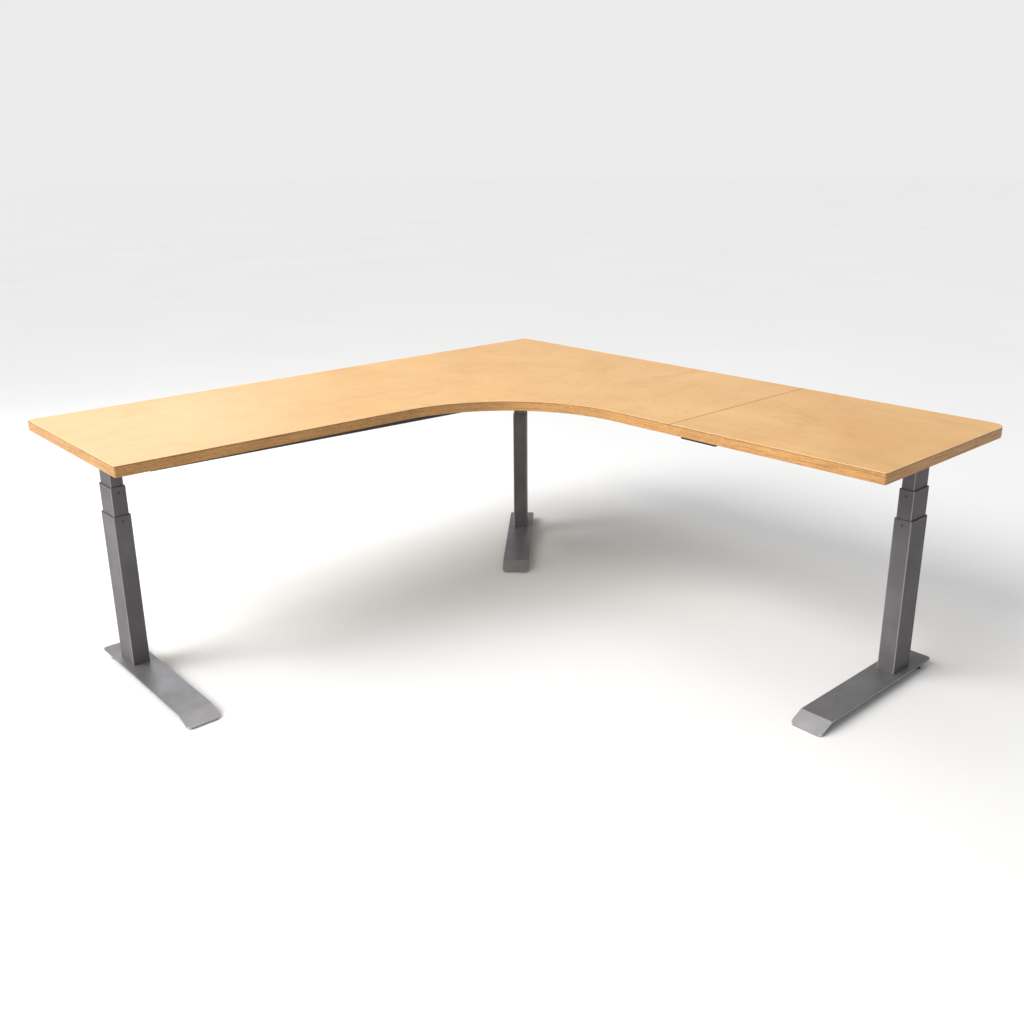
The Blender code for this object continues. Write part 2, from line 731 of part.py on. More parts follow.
def make_leads():
    leads = (
        ("left_motor_lead", LEFT_LEAD, LEAD_R),
        ("corner_motor_lead", CORNER_LEAD, LEAD_R),
        ("right_motor_lead", RIGHT_LEAD, LEAD_R),
        ("handset_lead", HANDSET_LEAD, HANDSET_LEAD_R),
    )
    for name, route, radius in leads:
        paint(new_object(name, lead_mesh(name, route, radius)), "black plastic", smooth=True)


def make_handset():
    """The recessed handset under the right wing: case, display window and five sprung buttons."""
    front = HANDSET_Y[0]
    centre_z = (HANDSET_LOW + FRAME_TOP) / 2
    case = block("handset_case", HANDSET_X, HANDSET_Y, (HANDSET_LOW, FRAME_TOP))
    wide, high = BUTTON[0] / 2, BUTTON[1] / 2
    for name, x in BUTTON_X.items():
        pocket = block(
            f"{name}_pocket", (x - wide - GAP, x + wide + GAP), (front - OVERCUT, front + POCKET_DEEP),
            (centre_z - high - GAP, centre_z + high + GAP),
        )
        cut(case, pocket)
        button = block(f"{name}_button", (-wide, wide), (0, BUTTON_Y[1] - BUTTON_Y[0]), (-high, high))
        button.location = (x, BUTTON_Y[0], centre_z)
        paint(button, "glossy black")
    window_wide, window_high = WINDOW[0] / 2, WINDOW[1] / 2
    recess = block(
        "window_recess", (WINDOW_X - window_wide - GAP, WINDOW_X + window_wide + GAP),
        (front - OVERCUT, front + WINDOW_THICK + GAP),
        (centre_z - window_high - GAP, centre_z + window_high + GAP),
    )
    paint(cut(case, recess), "black plastic")
    window = block(
        "handset_window", (WINDOW_X - window_wide, WINDOW_X + window_wide), (front, front + WINDOW_THICK),
        (centre_z - window_high, centre_z + window_high),
    )
    paint(window, "glossy black")


def build():
    frames = {name: leg_frame(name) for name in LEGS}
    holes = make_screw_holes(screw_places(frames))
    make_worktop()
    for name, frame in frames.items():
        make_leg(name, frame, holes)
    make_rails()
    make_splice_plates(holes)
    make_control_box(holes)
    make_leads()
    make_handset()


build()
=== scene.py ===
import math

import bmesh
import bpy
from mathutils import Matrix, Vector


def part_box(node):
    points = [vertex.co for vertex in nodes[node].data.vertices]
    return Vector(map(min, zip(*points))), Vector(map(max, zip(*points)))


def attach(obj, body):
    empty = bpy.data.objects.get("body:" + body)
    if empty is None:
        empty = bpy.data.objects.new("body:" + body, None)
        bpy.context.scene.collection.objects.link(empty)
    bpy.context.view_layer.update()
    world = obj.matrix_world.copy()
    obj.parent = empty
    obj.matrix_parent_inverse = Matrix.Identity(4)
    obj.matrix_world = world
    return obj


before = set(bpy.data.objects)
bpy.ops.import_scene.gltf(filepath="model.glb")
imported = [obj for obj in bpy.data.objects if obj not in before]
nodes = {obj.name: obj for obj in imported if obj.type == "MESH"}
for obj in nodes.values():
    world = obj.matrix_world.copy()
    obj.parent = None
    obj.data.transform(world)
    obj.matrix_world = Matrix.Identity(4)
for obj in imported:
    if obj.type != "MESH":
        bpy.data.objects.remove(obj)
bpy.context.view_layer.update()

LEGS = ("left", "right", "corner")
LEG_TURN = {"left": 0.0, "right": math.radians(-90), "corner": math.radians(-45)}
BASE_OF = {leg: f"{leg}_base" for leg in LEGS}
MIDDLE_OF = {leg: f"{leg}_middle" for leg in LEGS}
TOP_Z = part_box("worktop_main")[1].z
UNDER_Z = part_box("worktop_main")[0].z
SEAM_X = (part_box("edge_band_main")[1].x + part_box("edge_band_extension")[0].x) / 2

# ---- camera ----------------------------------------------------------------------------------

LENS_PX, FRAME_PX = 1018.3, 1024  # focal length and frame width, both in pixels
CAMERA_SHIFT = (0.0026, -0.0236)
CAMERA_PLACE = (2.05269, -1.80400, 1.36649)
YAW, PITCH, ROLL = 0.84522, 0.31587, 0.00976
camera_data = bpy.data.cameras.new("camera")
camera_data.sensor_width = 36
camera_data.lens = camera_data.sensor_width * LENS_PX / FRAME_PX
camera_data.shift_x, camera_data.shift_y = CAMERA_SHIFT
camera_data.clip_start, camera_data.clip_end = 0.05, 200
camera = bpy.data.objects.new("camera", camera_data)
camera.matrix_world = (
    Matrix.Translation(CAMERA_PLACE)
    @ Matrix.Rotation(YAW, 4, "Z")
    @ Matrix.Rotation(math.pi / 2 - PITCH, 4, "X")
    @ Matrix.Rotation(-ROLL, 4, "Z")
)
bpy.context.scene.collection.objects.link(camera)
bpy.context.scene.camera = camera

# ---- material tools --------------------------------------------------------------------------


class Finish:
    """A procedural material, built up node by node."""

    def __init__(self, name, **constants):
        self.material = bpy.data.materials.new(name)
        self.material.use_nodes = True
        self.tree = self.material.node_tree
        self.shader = self.tree.nodes["Principled BSDF"]
        for socket, value in constants.items():
            self.shader.inputs[socket.replace("_", " ")].default_value = value
        self.place = self.add("ShaderNodeTexCoord").outputs["Object"]

    def add(self, kind, inputs=None, **settings):
        node = self.tree.nodes.new(kind)
        for key, value in settings.items():
            setattr(node, key, value)
        for key, value in (inputs or {}).items():
            self.feed(node.inputs[key], value)
        return node

    def feed(self, socket, value):
        if isinstance(value, bpy.types.NodeSocket):
            self.tree.links.new(value, socket)
        else:
            socket.default_value = value

    def stretched(self, scale):
        """The place on the object, scaled along each axis, for grain and brushed lines."""
        node = self.add("ShaderNodeMapping", {"Vector": self.place, "Scale": scale})
        return node.outputs["Vector"]

    def noise(self, scale, vector=None, detail=3.0, roughness=0.5, distortion=0.0):
        node = self.add(
            "ShaderNodeTexNoise",
            {
                "Vector": vector or self.place, "Scale": scale, "Detail": detail,
                "Roughness": roughness, "Distortion": distortion,
            },
        )
        return node.outputs["Fac"]

    def ramp(self, factor, stops):
        """A colour or grey ramp. Each stop is (position, grey or (r, g, b))."""
        node = self.add("ShaderNodeValToRGB", {"Fac": factor})
        elements = node.color_ramp.elements
        while len(elements) < len(stops):
            elements.new(0.5)
        for element, (position, colour) in zip(elements, stops):
            element.position = position
            rgb = colour if isinstance(colour, tuple) else (colour,) * 3
            element.color = (*rgb, 1)
        return node.outputs["Color"]

    def mix(self, factor, a, b, blend="MIX"):
        node = self.add("ShaderNodeMix", data_type="RGBA", blend_type=blend)
        for socket, value in zip((node.inputs[0], node.inputs[6], node.inputs[7]), (factor, a, b)):
            if isinstance(value, tuple):
                value = (*value, 1)
            self.feed(socket, value)
        return node.outputs[2]

    def math(self, operation, *values):
        node = self.add("ShaderNodeMath", operation=operation)
        for socket, value in zip(node.inputs, values):
            self.feed(socket, value)
        return node.outputs[0]

    def bump(self, height, depth, strength=1.0, under=None):
        inputs = {"Height": height, "Distance": depth, "Strength": strength}
        if under:
            inputs["Normal"] = under
        return self.add("ShaderNodeBump", inputs).outputs["Normal"]

    def finish(self, **sockets):
        for socket, value in sockets.items():
            self.feed(self.shader.inputs[socket.replace("_", " ")], value)
        return self.material


def laminate(name, along):
    """Pale maple laminate: soft clouds, short flecks along the grain, a plain backing below."""
    f = Finish(name, Specular_IOR_Level=0.34)
    grain = (9, 2.2, 9) if along == "Y" else (2.2, 9, 9)
    fine = (190, 34, 100) if along == "Y" else (34, 190, 100)
    cloud = f.noise(2.6, detail=5, roughness=0.62, distortion=0.5)
    tone = f.ramp(cloud, (
        (0.30, (0.71, 0.410, 0.166)), (0.50, (0.765, 0.462, 0.196)), (0.72, (0.79, 0.492, 0.220))))
    figure = f.noise(1.0, f.stretched(grain), detail=6, roughness=0.62, distortion=0.9)
    tone = f.mix(0.38, tone, f.ramp(figure, ((0.30, 0.80), (0.48, 1.0), (0.72, 0.90))), "MULTIPLY")
    smudge = f.ramp(f.noise(13, detail=4, roughness=0.6), ((0.54, 0.0), (0.68, 1.0)))
    tone = f.mix(f.math("MULTIPLY", smudge, 0.16), tone, (0.60, 0.31, 0.12))
    fleck = f.noise(1.0, f.stretched(fine), detail=2, roughness=0.5, distortion=0.4)
    marks = f.ramp(fleck, ((0.57, 0.0), (0.66, 1.0)))
    patches = f.ramp(f.noise(9.0, detail=3), ((0.40, 0.0), (0.58, 1.0)))
    flecked = f.math("MULTIPLY", f.math("MULTIPLY", marks, patches), 0.32)
    tone = f.mix(flecked, tone, (0.48, 0.215, 0.070))
    pores = f.noise(1.0, f.stretched(tuple(3.2 * s for s in fine)), detail=2)
    tone = f.mix(0.30, tone, f.ramp(pores, ((0.35, 0.86), (0.55, 1.0))), "MULTIPLY")
    below = f.math("LESS_THAN", f.add("ShaderNodeSeparateXYZ", {
        "Vector": f.add("ShaderNodeNewGeometry").outputs["Normal"]}).outputs["Z"], -0.5)
    backing = f.ramp(f.noise(90, detail=3), ((0.3, (0.50, 0.42, 0.31)), (0.7, (0.58, 0.50, 0.385))))
    rough = f.ramp(f.noise(5, detail=5, roughness=0.65), ((0.3, 0.34), (0.7, 0.44)))
    return f.finish(
        Base_Color=f.mix(below, tone, backing),
        Roughness=rough,
        Normal=f.bump(pores, 0.00006, 0.25, f.bump(f.noise(420, detail=1), 0.00004, 0.2)),
    )


def edge_band():
    """Darker maple edge band: fine lines, a painted highlight along its top edge and a painted
    shadow line below that.
    """
    f = Finish("edge_band", Specular_IOR_Level=0.35)
    lines = f.noise(1.0, f.stretched((7, 7, 380)), detail=5, roughness=0.7, distortion=0.7)
    tone = f.ramp(lines, (
        (0.36, (0.33, 0.150, 0.044)), (0.46, (0.50, 0.250, 0.080)), (0.56, (0.60, 0.325, 0.115)),
        (0.70, (0.44, 0.215, 0.068))))
    cloud = f.ramp(f.noise(7, detail=3), ((0.3, 0.86), (0.7, 1.0)))
    tone = f.mix(1.0, tone, cloud, "MULTIPLY")
    dashes = f.ramp(f.noise(1.0, f.stretched((55, 55, 700)), detail=2), ((0.57, 0.0), (0.66, 1.0)))
    tone = f.mix(f.math("MULTIPLY", dashes, 0.60), tone, (0.20, 0.078, 0.022))
    glints = f.ramp(f.noise(1.0, f.stretched((90, 90, 800)), detail=1), ((0.60, 0.0), (0.68, 1.0)))
    tone = f.mix(f.math("MULTIPLY", glints, 0.40), tone, (0.72, 0.44, 0.19))
    x, _, height = f.add("ShaderNodeSeparateXYZ", {"Vector": f.place}).outputs
    rise = f.math("DIVIDE", f.math("SUBTRACT", height, UNDER_Z), TOP_Z - UNDER_Z)
    shadow = f.ramp(rise, ((0.00, 0.70), (0.07, 1.0), (0.80, 1.0), (0.90, 0.72), (0.96, 0.80)))
    tone = f.mix(1.0, tone, shadow, "MULTIPLY")
    # painted highlight: a light line along the band's top edge, left out at the seam where the two
    # boards meet
    arris_highlight = f.ramp(rise, ((0.965, 0.0), (0.985, 1.0)))
    tone = f.mix(arris_highlight, tone, (0.86, 0.60, 0.32))
    at_seam = f.math("MULTIPLY", f.math("COMPARE", x, SEAM_X, 0.004), arris_highlight)
    tone = f.mix(at_seam, tone, (0.50, 0.265, 0.095))
    return f.finish(
        Base_Color=tone, Roughness=f.ramp(lines, ((0.3, 0.52), (0.7, 0.42))),
        Normal=f.bump(lines, 0.0001, 0.35),
    )


COAT_GRAIN = 1700.0  # scale of the powder coat's finest specks


def powder_coat(name, low, high, metallic, rough, specular=0.5, edge_highlight=0.0, turn=0.0):
    """Powder coat: orange-peel skin over a slightly uneven tone, dusty patches and a painted
    highlight along its edges.

    The edge highlight's strength is how bright the painted highlight is where one flat face turns
    into the next, and turn is the angle about Z of the piece that those faces belong to.
    """
    f = Finish(name, Metallic=metallic, Specular_IOR_Level=specular)
    speck = f.noise(COAT_GRAIN, detail=2)
    cloud = f.noise(6, detail=4, roughness=0.6)
    spread = ((0.35, low), (0.65, high))
    tone = f.mix(0.35, f.ramp(cloud, spread), f.ramp(speck, spread))
    dust = f.ramp(f.noise(11, detail=3, roughness=0.55), ((0.46, 0.0), (0.72, 1.0)))
    pale = tuple(min(1.0, 1.6 * c + 0.02) for c in high)
    tone = f.mix(f.math("MULTIPLY", dust, 0.22), tone, pale)
    # painted highlight: the coat is painted brighter where the shading normal leans off the piece's
    # axes, on rounded edges, tube rims and the feet's sloped toes
    if edge_highlight:
        normal = f.add("ShaderNodeNewGeometry").outputs["Normal"]
        inputs = {"Vector": normal, "Angle": -turn}
        normal = f.add("ShaderNodeVectorRotate", inputs, rotation_type="Z_AXIS").outputs["Vector"]
        split = f.add("ShaderNodeSeparateXYZ", {"Vector": normal}).outputs
        x, y, z = (f.math("ABSOLUTE", split[axis]) for axis in "XYZ")
        edge = f.ramp(f.math("MAXIMUM", f.math("MAXIMUM", x, y), z), ((0.80, 1.0), (0.985, 0.0)))
        # noise breaks the painted highlight up a little
        highlight_breakup = f.ramp(f.noise(30, detail=2), ((0.30, 0.84), (0.60, 1.0)))
        bright = tuple(min(1.0, 2.6 * c + 0.05) for c in high)
        tone = f.mix(f.math("MULTIPLY", f.math("MULTIPLY", edge, highlight_breakup), edge_highlight), tone, bright)
    roughness = f.ramp(f.noise(17, detail=4), ((0.3, rough - 0.05), (0.7, rough + 0.07)))
    peel = f.bump(f.noise(240, detail=1), 0.00006, 0.15)
    return f.finish(Base_Color=tone, Roughness=roughness, Normal=f.bump(speck, 0.00003, 0.12, peel))


def plated(name, low, high, rough, brushed=(1, 1, 1)):
    """Bright plated steel with a faint mottle and fine drawn lines."""
    f = Finish(name, Metallic=1.0)
    mottle = f.noise(60, detail=4, roughness=0.7, distortion=0.8)
    drawn = f.noise(900, f.stretched(brushed), detail=2)
    spread = ((0.3, low), (0.7, high))
    tone = f.mix(0.4, f.ramp(mottle, spread), f.ramp(drawn, spread))
    return f.finish(
        Base_Color=tone, Roughness=f.ramp(drawn, ((0.3, rough - 0.06), (0.7, rough + 0.08))),
        Normal=f.bump(drawn, 0.00003, 0.3),
    )


def cast_alloy():
    f = Finish("cast_alloy", Metallic=0.85)
    skin = f.noise(380, detail=4, roughness=0.7)
    stain = f.noise(35, detail=3)
    tone = f.mix(
        0.5, f.ramp(skin, ((0.3, 0.34), (0.7, 0.50))), f.ramp(stain, ((0.3, 0.38), (0.7, 0.48))))
    return f.finish(Base_Color=tone, Roughness=f.ramp(skin, ((0.3, 0.42), (0.7, 0.62))),
                    Normal=f.bump(skin, 0.00025, 0.6))


def moulded(name, tone, rough, texture=1100.0, depth=0.00008):
    """Moulded black plastic with a fine spark-eroded skin, greyer where it is handled."""
    f = Finish(name, Specular_IOR_Level=0.45)
    skin = f.noise(texture, detail=2)
    wear = f.noise(24, detail=4, roughness=0.65)
    shade = f.mix(0.5, f.ramp(skin, ((0.3, tone * 0.7), (0.7, tone * 1.3))),
                  f.ramp(wear, ((0.35, tone * 0.8), (0.75, tone * 1.5 + 0.004))))
    dull = f.ramp(wear, ((0.3, rough - 0.06), (0.7, rough + 0.08)))
    return f.finish(Base_Color=shade, Roughness=dull, Normal=f.bump(skin, depth, 0.5))


def legend_paint():
    f = Finish("legend_paint", Roughness=0.5)
    return f.finish(Base_Color=f.ramp(f.noise(700), ((0.3, 0.62), (0.7, 0.78))))


MAPLE_MAIN = laminate("maple_laminate_main", "Y")
MAPLE_EXTENSION = laminate("maple_laminate_extension", "X")
EDGE_BAND = edge_band()
TUBE_COAT = ((0.107, 0.100, 0.103), (0.135, 0.126, 0.130), 0.0, 0.46)
FOOT_COAT = ((0.200, 0.197, 0.205), (0.245, 0.241, 0.251), 0.55, 0.36)
BLACK_COAT = ((0.012, 0.012, 0.013), (0.022, 0.022, 0.024), 0.0, 0.45)
# each: part, coat (tones, metallic, roughness), specular level, strength of the painted edge
# highlight
LEG_COATS = (("tube", TUBE_COAT, 0.08, 0.75), ("foot", FOOT_COAT, 0.24, 0.85))
SILVER, FOOT_SILVER = (
    {
        leg: powder_coat(
            f"{leg}_{part}_powder_coat", *coat, specular=shine, edge_highlight=edge_highlight, turn=LEG_TURN[leg])
        for leg in LEGS
    }
    for part, coat, shine, edge_highlight in LEG_COATS
)
BLACK_STEEL = powder_coat("black_powder_coat", *BLACK_COAT)
ZINC = plated("zinc_plate", (0.50, 0.51, 0.50), (0.68, 0.68, 0.66), 0.34)
BRIGHT_STEEL = plated("bright_steel", (0.56, 0.56, 0.57), (0.72, 0.72, 0.72), 0.36, (1, 1, 0.05))
BLACK_SCREW = plated("black_screw", (0.020, 0.020, 0.022), (0.045, 0.045, 0.048), 0.38)
BRASS = plated("brass_pins", (0.62, 0.47, 0.20), (0.76, 0.60, 0.30), 0.36)
CAST = cast_alloy()
PLASTIC = moulded("black_plastic", 0.022, 0.50)
CABLE = moulded("cable_sheath", 0.016, 0.42, 260.0, 0.00004)
GLOSS = moulded("gloss_plastic", 0.009, 0.14, 1500.0, 0.00001)
LEGEND = legend_paint()

# ---- carried-over CAD nodes ------------------------------------------------------------------

SMOOTH_ANGLE = math.radians(32)
BEVEL_SEGMENTS = 2


def dress(name, material, bevel=0.0, angle=40):
    """Gives a CAD node its material, smooth shading over its curves, and worked edges."""
    obj = nodes[name]
    obj.data.materials.clear()
    obj.data.materials.append(material)
    if bevel:
        edges = obj.modifiers.new("worked_edges", "BEVEL")
        edges.width = bevel
        edges.segments = BEVEL_SEGMENTS
        edges.limit_method = "ANGLE"
        edges.angle_limit = math.radians(angle)
    smooth_shade(obj.data)
    # flat faces stay flat-shaded right up to their rounded edges
    level = obj.modifiers.new("flat_faces", "WEIGHTED_NORMAL")
    level.keep_sharp = True


def smooth_shade(mesh):
    mesh.shade_smooth()
    mesh.set_sharp_from_angle(angle=SMOOTH_ANGLE)


dress("worktop_main", MAPLE_MAIN, 0.0007)
dress("worktop_extension", MAPLE_EXTENSION, 0.0007)
dress("edge_band_main", EDGE_BAND, 0.0006)
dress("edge_band_extension", EDGE_BAND, 0.0006)
for leg in LEGS:
    dress(f"{leg}_foot", FOOT_SILVER[leg], 0.0009)
    for stage in ("lower", "middle", "upper"):
        dress(f"{leg}_{stage}_tube", SILVER[leg], 0.0004, angle=60)
    for stage in ("lower", "middle"):
        dress(f"{leg}_{stage}_guide", PLASTIC)
    for number in (1, 2):
        dress(f"{leg}_leveller_{number}", PLASTIC)
    dress(f"{leg}_lead_screw", BRIGHT_STEEL)
    dress(f"{leg}_nut_tube", ZINC)
    dress(f"{leg}_gear_motor", CAST, 0.0008)
    dress(f"{leg}_head_bracket", BLACK_STEEL, 0.0006)
for rail in ("left_front_rail", "left_rear_rail", "right_front_rail", "right_rear_rail"):
    dress(rail, BLACK_STEEL, 0.0005)
for number in (1, 2, 3):
    dress(f"splice_plate_{number}", ZINC, 0.0005)
dress("control_box", PLASTIC, 0.0012)
dress("mains_inlet", PLASTIC, 0.0004)
for lead in ("left_motor_lead", "corner_motor_lead", "right_motor_lead", "handset_lead"):
    dress(lead, CABLE)
dress("handset_case", PLASTIC, 0.0010)
dress("handset_window", GLOSS, 0.0002)
for button in ("up", "down", "memory_1", "memory_2", "memory_3"):
    dress(f"{button}_button", PLASTIC, 0.0008)

# ---- small pieces ----------------------------------------------------------------------------

RING_SIDES = 24
HEX_SIDES = 6


def ring(radius, height, kind="round"):
    """One level of a turned piece. A hexagon's flats lie at that radius."""
    points = []
    for k in range(RING_SIDES):
        a = 2 * math.pi * k / RING_SIDES
        flat = math.pi / HEX_SIDES
        r = radius / math.cos(a % (2 * flat) - flat) if kind == "hex" else radius
        points.append(Vector((r * math.cos(a), r * math.sin(a), height)))
    return points


def loft(form, rings, place, closed=False):
    """Skins rings of equal count into one solid: capped, or joined end to end if closed."""
    levels = [[form.verts.new(place @ point) for point in points] for points in rings]
    pairs = list(zip(levels, levels[1:])) + ([(levels[-1], levels[0])] if closed else [])
    for low, high in pairs:
        for k in range(len(low)):
            n = (k + 1) % len(low)
            form.faces.new((low[k], low[n], high[n], high[k]))
    if not closed:
        form.faces.new(reversed(levels[0]))
        form.faces.new(levels[-1])


def facing(point, direction):
    """A matrix that puts a piece at a point with its own +Z along a direction."""
    turn = Vector(direction).to_track_quat("Z", "Y").to_matrix().to_4x4()
    return Matrix.Translation(point) @ turn


def piece(name, form, body, material):
    """Makes a small piece from a finished bmesh and hangs it on its body."""
    bmesh.ops.recalc_face_normals(form, faces=form.faces)
    mesh = bpy.data.meshes.new(name)
    form.to_mesh(mesh)
    form.free()
    smooth_shade(mesh)
    mesh.materials.append(material)
    obj = bpy.data.objects.new(name, mesh)
    bpy.context.scene.collection.objects.link(obj)
    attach(obj, body)


def screw_rings(head, high, shank, deep, socket):
    """A domed head with a hexagonal socket, standing on z = 0, with its shank below."""
    return [
        ring(shank, -deep), ring(shank, 0), ring(head, 0), ring(head, high * 0.45),
        ring(head * 0.88, high * 0.85), ring(head * 0.70, high), ring(socket * 1.25, high),
        ring(socket, high * 0.9, "hex"), ring(socket, high * 0.3, "hex"),
    ]


# each leg's frame: its origin on the floor under the column, +X to its toe
def leg_matrix(leg):
    low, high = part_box(f"{leg}_nut_tube")
    middle = (low + high) / 2
    return Matrix.Translation((middle.x, middle.y, 0)) @ Matrix.Rotation(LEG_TURN[leg], 4, "Z")


LEG = {leg: leg_matrix(leg) for leg in LEGS}
LOWER_FACE, MIDDLE_FACE = 0.043, 0.0395  # toe-side faces of the two tubes, from the column's axis
GRUB_Z = {"lower": 0.447, "middle": 0.526}
GRUB = [ring(0.0032, -0.0011), ring(0.0032, 0), ring(0.0027, 0.0004), ring(0.0021, 0.0004),
        ring(0.0016, 0.0002, "hex"), ring(0.0016, -0.0008, "hex")]
FOOT_UNDER = 0.021  # the lower face of each foot's plate
BOLT_PLACES = [(x, y) for x in (-0.026, 0.026) for y in (-0.013, 0.013)]

for leg in LEGS:
    stages = (("lower", LOWER_FACE, BASE_OF[leg]), ("middle", MIDDLE_FACE, MIDDLE_OF[leg]))
    for stage, face, body in stages:
        form = bmesh.new()
        loft(form, GRUB, LEG[leg] @ facing((face, 0, GRUB_Z[stage]), (1, 0, 0)))
        piece(f"{leg}_{stage}_set_screw", form, body, BLACK_SCREW)
    form = bmesh.new()
    for x, y in BOLT_PLACES:
        rings = screw_rings(0.0056, 0.0032, 0.0030, 0.0085, 0.0020)
        loft(form, rings, LEG[leg] @ facing((x, y, FOOT_UNDER - 0.0001), (0, 0, -1)))
    piece(f"{leg}_foot_bolts", form, BASE_OF[leg], BLACK_SCREW)

# wood screws, up through the brackets, the splice plates and the control box's ears
SHEET_UNDER = UNDER_Z - 0.0033  # just under the 3 mm sheet that they hold
SPLICE_MIDDLES = [sum(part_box(f"splice_plate_{n}"), Vector()) / 2 for n in (1, 2, 3)]
BRACKET_SCREWS = {"left": (-0.215, 0.170), "right": (-0.164, 0.181), "corner": (-0.215, 0.385)}
WOOD_SCREWS = {
    "splice_screws": [
        (m.x + dx, m.y + dy)
        for m in SPLICE_MIDDLES for dx in (-0.045, 0.045) for dy in (-0.010, 0.010)
    ],
    "bracket_screws": [
        tuple((LEG[leg] @ Vector((x, 0, 0)))[:2]) for leg in LEGS for x in BRACKET_SCREWS[leg]
    ],
    "control_box_screws": [(-0.151, 0.630), (0.111, 0.630)],
}
for name, places in WOOD_SCREWS.items():
    form = bmesh.new()
    for x, y in places:
        loft(form, screw_rings(0.0046, 0.0026, 0.0018, 0.0028, 0.0016),
             facing((x, y, SHEET_UNDER), (0, 0, -1)))
    piece(name, form, "desktop", ZINC)

# saddle clips that hold the leads up against the underside of the top
RUN_Z = 0.628  # height of the leads' middle line
CLIPS = [
    (-0.360, 0.600, "x"), (-0.420, 0.700, "x"), (0.240, 0.640, "x"), (0.500, 0.640, "x"),
    (0.640, 0.640, "x"), (0.340, 0.610, "x"),
    *((-0.600, y, "y") for y in (0.30, 0.10, -0.10, -0.30, -0.50)),
]
CLIP_IN, CLIP_OUT, CLIP_HALF, TAB = 0.0029, 0.0043, 0.004, 0.0125
NAIL_HEAD = [ring(0.0022, 0), ring(0.0022, 0.0005), ring(0.0014, 0.0009)]


def saddle_outline():
    """The clip seen along its lead: a U round it, with a tab to one side along the top."""
    high, under = UNDER_Z - RUN_Z - 0.0001, UNDER_Z - RUN_Z - 0.0016
    arc = [math.pi * k / 12 for k in range(13)]
    outer = [(-CLIP_OUT * math.cos(a), -CLIP_OUT * math.sin(a)) for a in arc]
    inner = [(CLIP_IN * math.cos(a), -CLIP_IN * math.sin(a)) for a in arc]
    tab = [(CLIP_OUT, under), (TAB, under), (TAB, high)]
    return [(-CLIP_OUT, high), *outer, *tab, (CLIP_IN, high), *inner, (-CLIP_IN, high)]


form = bmesh.new()
nails = bmesh.new()
for x, y, along in CLIPS:
    turn = Matrix.Rotation(math.radians(90 if along == "x" else 0), 4, "Z")
    place = Matrix.Translation((x, y, RUN_Z)) @ turn
    rings = [[Vector((u, side * CLIP_HALF, w)) for u, w in saddle_outline()] for side in (-1, 1)]
    loft(form, rings, place)
    nail = place @ Vector(((CLIP_OUT + TAB) / 2, 0, UNDER_Z - RUN_Z - 0.0017))
    loft(nails, NAIL_HEAD, facing(nail, (0, 0, -1)))
piece("cable_clips", form, "desktop", PLASTIC)
piece("clip_nails", nails, "desktop", ZINC)


def strain_relief(name, exit_point, direction, long, bore, collar):
    """A ribbed sleeve round a lead where it enters something: the collar is at the exit point."""
    rings = [ring(bore, 0), ring(collar, 0), ring(collar, long * 0.22)]
    ribs = 4
    step = long * 0.78 / ribs
    for k in range(ribs):
        waist = collar - (collar - bore) * (0.35 + 0.12 * k)
        base = long * 0.22 + k * step
        rings += [ring(waist, base + 0.0001), ring(waist, base + step * 0.45),
                  ring(waist + 0.0006, base + step * 0.5), ring(waist + 0.0006, base + step * 0.95)]
    rings += [ring(bore + 0.0004, long), ring(bore, long)]
    form = bmesh.new()
    loft(form, rings, facing(exit_point, direction), closed=True)
    piece(name, form, "desktop", PLASTIC)


BOX_EAR = 0.022  # how far the control box's screw ears stand out past its ends
BOX_ENDS = (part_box("control_box")[0].x + BOX_EAR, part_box("control_box")[1].x - BOX_EAR)
LEAD_BORE, THIN_BORE = 0.0027, 0.0022
RELIEF_GAP, BOX_LEAD_Z, BOX_RELIEF = 0.0002, 0.612, 0.018
for lead, side, y, bore, collar in (
    ("left", -1, 0.605, LEAD_BORE, 0.0052), ("corner", -1, 0.665, LEAD_BORE, 0.0052),
    ("right", 1, 0.655, LEAD_BORE, 0.0052), ("handset", 1, 0.605, THIN_BORE, 0.0048),
):
    end = BOX_ENDS[0] - RELIEF_GAP if side < 0 else BOX_ENDS[1] + RELIEF_GAP
    place = (end, y, BOX_LEAD_Z)
    strain_relief(f"{lead}_lead_relief", place, (side, 0, 0), BOX_RELIEF, bore, collar)
handset_exit = (0.400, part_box("handset_case")[1].y + RELIEF_GAP, 0.6225)
strain_relief("handset_relief", handset_exit, (0, 1, 0), 0.008, THIN_BORE, 0.0036)
MOTOR_END, MOTOR_AXIS_Z = -0.1352, 0.6118
for leg in LEGS:
    end = LEG[leg] @ Vector((MOTOR_END, 0, MOTOR_AXIS_Z))
    out = LEG[leg].to_3x3() @ Vector((-1, 0, 0))
    strain_relief(f"{leg}_motor_relief", end, out, 0.013, LEAD_BORE, 0.0050)

# the mains inlet's three flat pins
inlet_low, inlet_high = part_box("mains_inlet")
INLET_MIDDLE = (inlet_low + inlet_high) / 2
PIN_LONG, PIN_WIDE, PIN_THICK = 0.0150, 0.0040, 0.0020


def blade(half_x, half_z, y):
    corners = ((-1, -1), (1, -1), (1, 1), (-1, 1))
    return [Vector((sx * half_x, y, sz * half_z)) for sx, sz in corners]


form = bmesh.new()
for dx, dz in ((-0.007, -0.0015), (0.0, 0.0022), (0.007, -0.0015)):
    root = Matrix.Translation((INLET_MIDDLE.x + dx, inlet_low.y + 0.0029, INLET_MIDDLE.z + dz))
    w, t = PIN_THICK / 2, PIN_WIDE / 2
    point = blade(w * 0.5, t * 0.6, PIN_LONG)
    loft(form, [blade(w, t, 0), blade(w, t, PIN_LONG * 0.86), point], root)
piece("inlet_pins", form, "desktop", BRASS)


